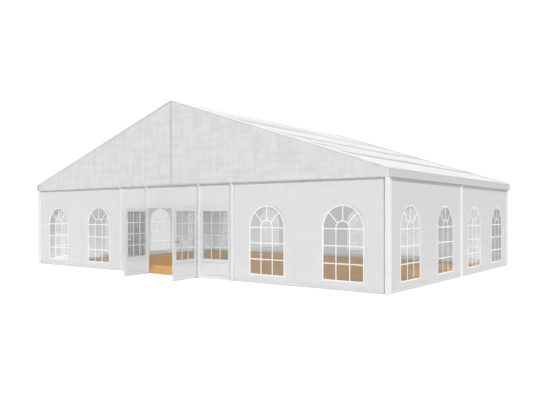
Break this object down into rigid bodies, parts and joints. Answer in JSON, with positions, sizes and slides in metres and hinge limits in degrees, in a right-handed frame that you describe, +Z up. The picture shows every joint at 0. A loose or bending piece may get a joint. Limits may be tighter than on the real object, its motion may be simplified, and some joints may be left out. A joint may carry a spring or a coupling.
{
  "type": "marquee tent",
  "caption": "White frame marquee with a gable roof, arched clear windows along every wall and a glazed double door that swings outwards.",
  "frame": {"origin": "on the ground at the middle of the tent's footprint", "axes": "+Z up; +X along the gable to the right as seen from outside the door; -Y out through the door"},
  "size_m": [15.18, 11.2427, 5.553],
  "materials": {
    "white_frame": "white powder coat, satin",
    "bare_frame": "anodised extrusion",
    "roof_fabric": "coated tarpaulin cloth, satin",
    "wall_fabric": "coated tarpaulin cloth, satin",
    "window_film": "clear flexible film",
    "door_profile": "white powder coat, satin",
    "door_glass": "clear",
    "wood": "orange-brown boards"
  },
  "bodies": {
    "tent": {"leg_front_left": "white_frame", "leg_front_right": "white_frame", "leg_middle_left": "white_frame", "leg_middle_right": "white_frame", "leg_rear_left": "white_frame", "leg_rear_right": "white_frame", "gable_post_front_left": "white_frame", "gable_post_front_right": "white_frame", "gable_post_rear_left": "white_frame", "gable_post_rear_right": "white_frame", "eave_fascia_left": "white_frame", "eave_fascia_right": "white_frame", "rafters_front": "bare_frame", "rafters_middle": "bare_frame", "rafters_rear": "bare_frame", "gable_rail_front": "bare_frame", "gable_rail_rear": "bare_frame", "ridge_purlin_front": "bare_frame", "ridge_purlin_rear": "bare_frame", "purlin_front_left": "bare_frame", "purlin_front_right": "bare_frame", "purlin_rear_left": "bare_frame", "purlin_rear_right": "bare_frame", "roof_cover_front_left": "roof_fabric", "roof_cover_front_right": "roof_fabric", "roof_cover_rear_left": "roof_fabric", "roof_cover_rear_right": "roof_fabric", "gable_cover_front": "wall_fabric", "gable_cover_rear": "wall_fabric", "front_left_wall": "wall_fabric", "front_right_wall": "wall_fabric", "left_front_wall": "wall_fabric", "left_rear_wall": "wall_fabric", "right_front_wall": "wall_fabric", "right_rear_wall": "wall_fabric", "rear_left_wall": "wall_fabric", "rear_middle_wall": "wall_fabric", "rear_right_wall": "wall_fabric", "front_left_window_film": "window_film", "front_right_window_film": "window_film", "left_front_window_film": "window_film", "left_rear_window_film": "window_film", "right_front_window_film": "window_film", "right_rear_window_film": "window_film", "rear_left_window_film": "window_film", "rear_middle_window_film": "window_film", "rear_right_window_film": "window_film", "wooden_floor": "wood", "side_light_left": "door_profile", "side_light_right": "door_profile", "over_door_panel": "door_profile", "side_glass_left": "door_glass", "side_glass_right": "door_glass"},
    "left_door": {"door_leaf_left": "door_profile", "door_glass_left": "door_glass"},
    "right_door": {"door_leaf_right": "door_profile", "door_glass_right": "door_glass"}
  },
  "joints": [
    {"name": "left_door_hinge", "type": "hinge", "parent": "tent", "child": "left_door", "pos_m": [-1.143, -5.042, 0], "axis": [0, 0, 1], "range_deg": [-58, 80]},
    {"name": "right_door_hinge", "type": "hinge", "parent": "tent", "child": "right_door", "pos_m": [1.143, -5.042, 0], "axis": [0, 0, -1], "range_deg": [-48, 98]}
  ]
}
